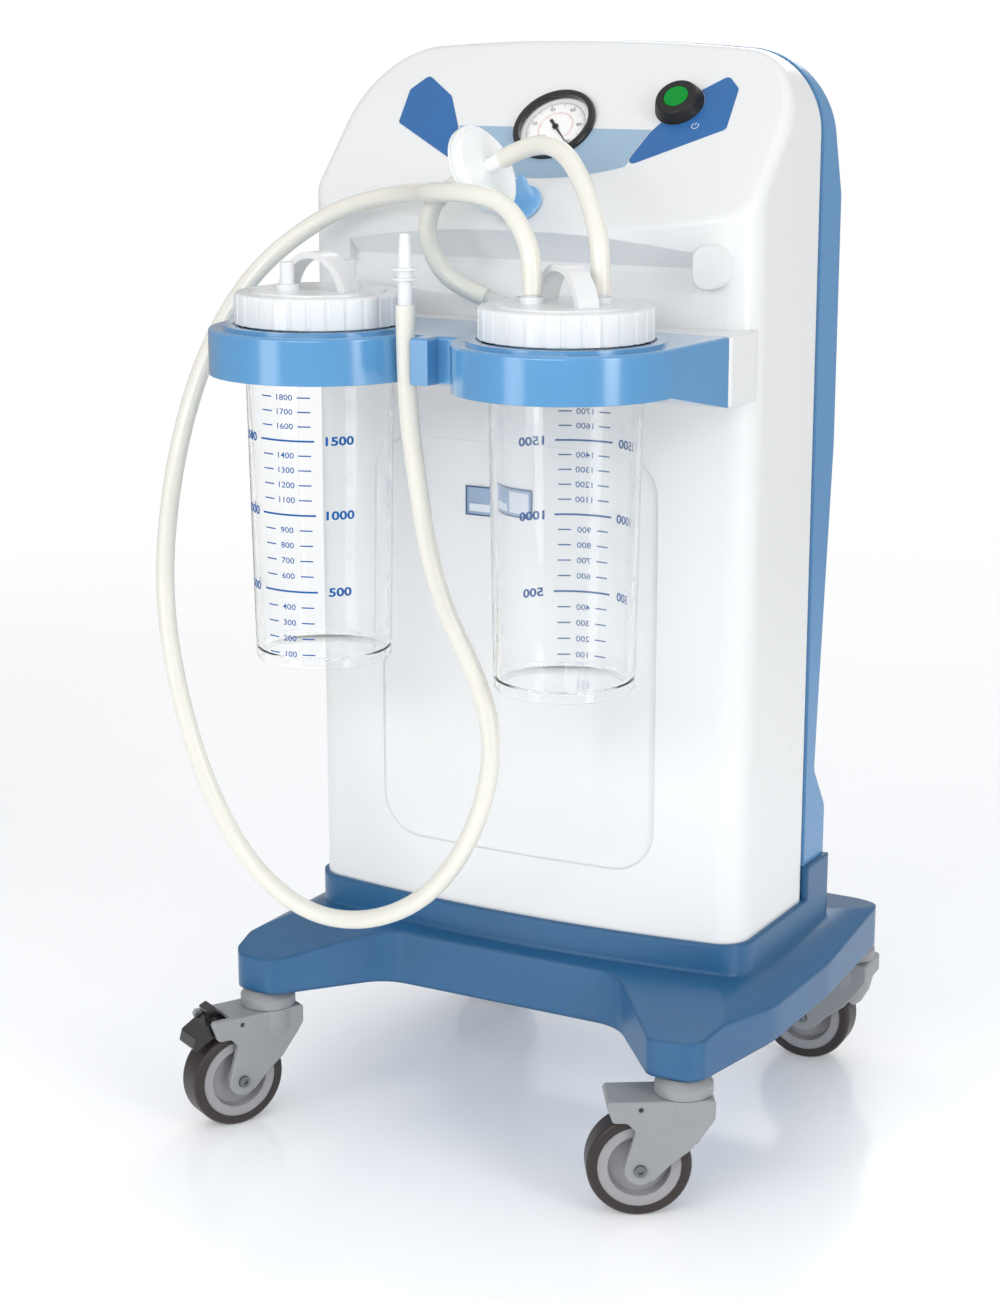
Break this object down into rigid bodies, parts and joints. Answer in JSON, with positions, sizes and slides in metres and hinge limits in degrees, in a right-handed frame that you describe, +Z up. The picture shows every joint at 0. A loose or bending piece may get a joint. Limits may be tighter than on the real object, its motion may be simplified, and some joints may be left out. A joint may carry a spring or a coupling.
{
  "type": "medical suction pump",
  "caption": "Trolley-mounted suction pump: white and blue casing on swivel casters, sloping panel with gauge, jar holder with graduated jars, filter and hoses.",
  "frame": {"origin": "on the floor, under the middle of the footprint", "axes": "+Z up, +Y from the front with the jars to the back, +X to the right seen from the front"},
  "size_m": [0.4744, 0.4739, 0.8605],
  "materials": {
    "blue_moulding": "smooth semi-gloss moulding",
    "white_moulding": "smooth semi-gloss moulding",
    "dark_plastic": "fine matt texture",
    "black_plastic": "gloss",
    "black_rubber": "matt",
    "plate_grey": "satin film",
    "dark_blue_foil": "satin film",
    "light_blue_foil": "satin film",
    "dial_white": "matt print",
    "clear_window": "clear",
    "green_lens": "translucent gloss",
    "brass": "machined",
    "knob_blue": "gloss",
    "milky_plastic": "translucent",
    "silicone": "translucent silicone",
    "filter_white": "smooth",
    "connector_white": "smooth",
    "clear_jar": "clear polycarbonate, blue graduations",
    "lid_white": "smooth moulding",
    "seal": "soft",
    "pump_metal": "cast",
    "motor_paint": "painted",
    "steel": "zinc plated",
    "caster_grey": "grained nylon",
    "tyre_grey": "matt rubber"
  },
  "bodies": {
    "root": {"base_platform": "blue_moulding", "base_underplate": "blue_moulding", "casing_screws": "steel", "front_shell": "white_moulding", "rear_shell": "blue_moulding", "rear_grille": "dark_plastic", "name_plate": "plate_grey", "panel_petals": "dark_blue_foil", "panel_band": "light_blue_foil", "gauge_case": "black_plastic", "gauge_dial": "dial_white", "gauge_glass": "clear_window", "switch_bezel": "black_rubber", "regulator_valve": "brass", "inlet_elbow": "milky_plastic", "inlet_hose": "silicone", "filter_front_shell": "filter_white", "filter_rear_shell": "filter_white", "filter_hose": "silicone", "patient_hose": "silicone", "patient_connector": "connector_white", "jar_holder": "blue_moulding", "jar_right": "clear_jar", "lid_right": "lid_white", "gasket_right": "seal", "float_right": "milky_plastic", "pump_body": "pump_metal", "motor_housing": "motor_paint", "pump_mounts": "black_rubber", "pump_plate": "steel", "power_inlet": "black_plastic", "swivel_caps": "caster_grey"},
    "gauge_pointer": {"gauge_needle": "black_plastic"},
    "mains_button": {"switch_button": "green_lens"},
    "vacuum_knob": {"regulator_knob": "knob_blue"},
    "rotor": {"motor_rotor": "steel"},
    "left_jar": {"jar_left": "clear_jar"},
    "left_lid": {"lid_left": "lid_white", "gasket_left": "seal", "float_left": "milky_plastic"},
    "caster_front_left": {"fork_front_left": "caster_grey", "axle_front_left": "steel"},
    "wheel_front_left": {"hub_front_left": "caster_grey", "tyre_front_left": "tyre_grey"},
    "brake_pedal_front_left": {"brake_front_left": "black_plastic"},
    "caster_front_right": {"fork_front_right": "caster_grey", "axle_front_right": "steel"},
    "wheel_front_right": {"hub_front_right": "caster_grey", "tyre_front_right": "tyre_grey"},
    "caster_rear_left": {"fork_rear_left": "caster_grey", "axle_rear_left": "steel"},
    "wheel_rear_left": {"hub_rear_left": "caster_grey", "tyre_rear_left": "tyre_grey"},
    "brake_pedal_rear_left": {"brake_rear_left": "black_plastic"},
    "caster_rear_right": {"fork_rear_right": "caster_grey", "axle_rear_right": "steel"},
    "wheel_rear_right": {"hub_rear_right": "caster_grey", "tyre_rear_right": "tyre_grey"}
  },
  "joints": [
    {"name": "gauge_pointer_turn", "type": "hinge", "parent": "root", "child": "gauge_pointer", "pos_m": [0, 0.0249, 0.79745], "axis": [0, -0.729, 0.6845], "range_deg": [0, 270]},
    {"name": "mains_button_press", "type": "slide", "parent": "root", "child": "mains_button", "axis": [0, 0.729, -0.6845], "range_m": [0, 0.0025], "stiffness_N_per_m": 400},
    {"name": "vacuum_knob_turn", "type": "hinge", "parent": "root", "child": "vacuum_knob", "pos_m": [0, -0.02883, 0.74023], "axis": [0, -0.729, 0.6845], "range_deg": [0, 300]},
    {"name": "rotor_spin", "type": "hinge", "parent": "root", "child": "rotor", "pos_m": [0, 0.045, 0.226], "axis": [1, 0, 0], "continuous": true},
    {"name": "left_jar_lift", "type": "slide", "parent": "root", "child": "left_jar", "axis": [0, 0, 1], "range_m": [0, 0.27]},
    {"name": "left_lid_off", "type": "slide", "parent": "left_jar", "child": "left_lid", "axis": [0, 0, 1], "range_m": [0, 0.08]},
    {"name": "caster_front_left_swivel", "type": "hinge", "parent": "root", "child": "caster_front_left", "pos_m": [-0.1874, -0.115, 0.09], "axis": [0, 0, 1], "continuous": true},
    {"name": "wheel_front_left_roll", "type": "hinge", "parent": "caster_front_left", "child": "wheel_front_left", "pos_m": [-0.20336, -0.14502, 0.04], "axis": [-0.8829, 0.4695, 0], "continuous": true},
    {"name": "brake_front_left_press", "type": "hinge", "parent": "caster_front_left", "child": "brake_pedal_front_left", "pos_m": [-0.20336, -0.14502, 0.0886], "axis": [0.8829, -0.4695, 0], "range_deg": [0, 8]},
    {"name": "caster_front_right_swivel", "type": "hinge", "parent": "root", "child": "caster_front_right", "pos_m": [0.1874, -0.115, 0.09], "axis": [0, 0, 1], "continuous": true},
    {"name": "wheel_front_right_roll", "type": "hinge", "parent": "caster_front_right", "child": "wheel_front_right", "pos_m": [0.15857, -0.13302, 0.04], "axis": [-0.5299, 0.848, 0], "continuous": true},
    {"name": "caster_rear_left_swivel", "type": "hinge", "parent": "root", "child": "caster_rear_left", "pos_m": [-0.1874, 0.217, 0.09], "axis": [0, 0, 1], "continuous": true},
    {"name": "wheel_rear_left_roll", "type": "hinge", "parent": "caster_rear_left", "child": "wheel_rear_left", "pos_m": [-0.15392, 0.2111, 0.04], "axis": [-0.1736, -0.9848, 0], "continuous": true},
    {"name": "brake_rear_left_press", "type": "hinge", "parent": "caster_rear_left", "child": "brake_pedal_rear_left", "pos_m": [-0.15392, 0.2111, 0.0886], "axis": [0.1736, 0.9848, 0], "range_deg": [0, 8]},
    {"name": "caster_rear_right_swivel", "type": "hinge", "parent": "root", "child": "caster_rear_right", "pos_m": [0.1874, 0.217, 0.09], "axis": [0, 0, 1], "continuous": true},
    {"name": "wheel_rear_right_roll", "type": "hinge", "parent": "caster_rear_right", "child": "wheel_rear_right", "pos_m": [0.15348, 0.21463, 0.04], "axis": [-0.0698, 0.9976, 0], "continuous": true}
  ]
}
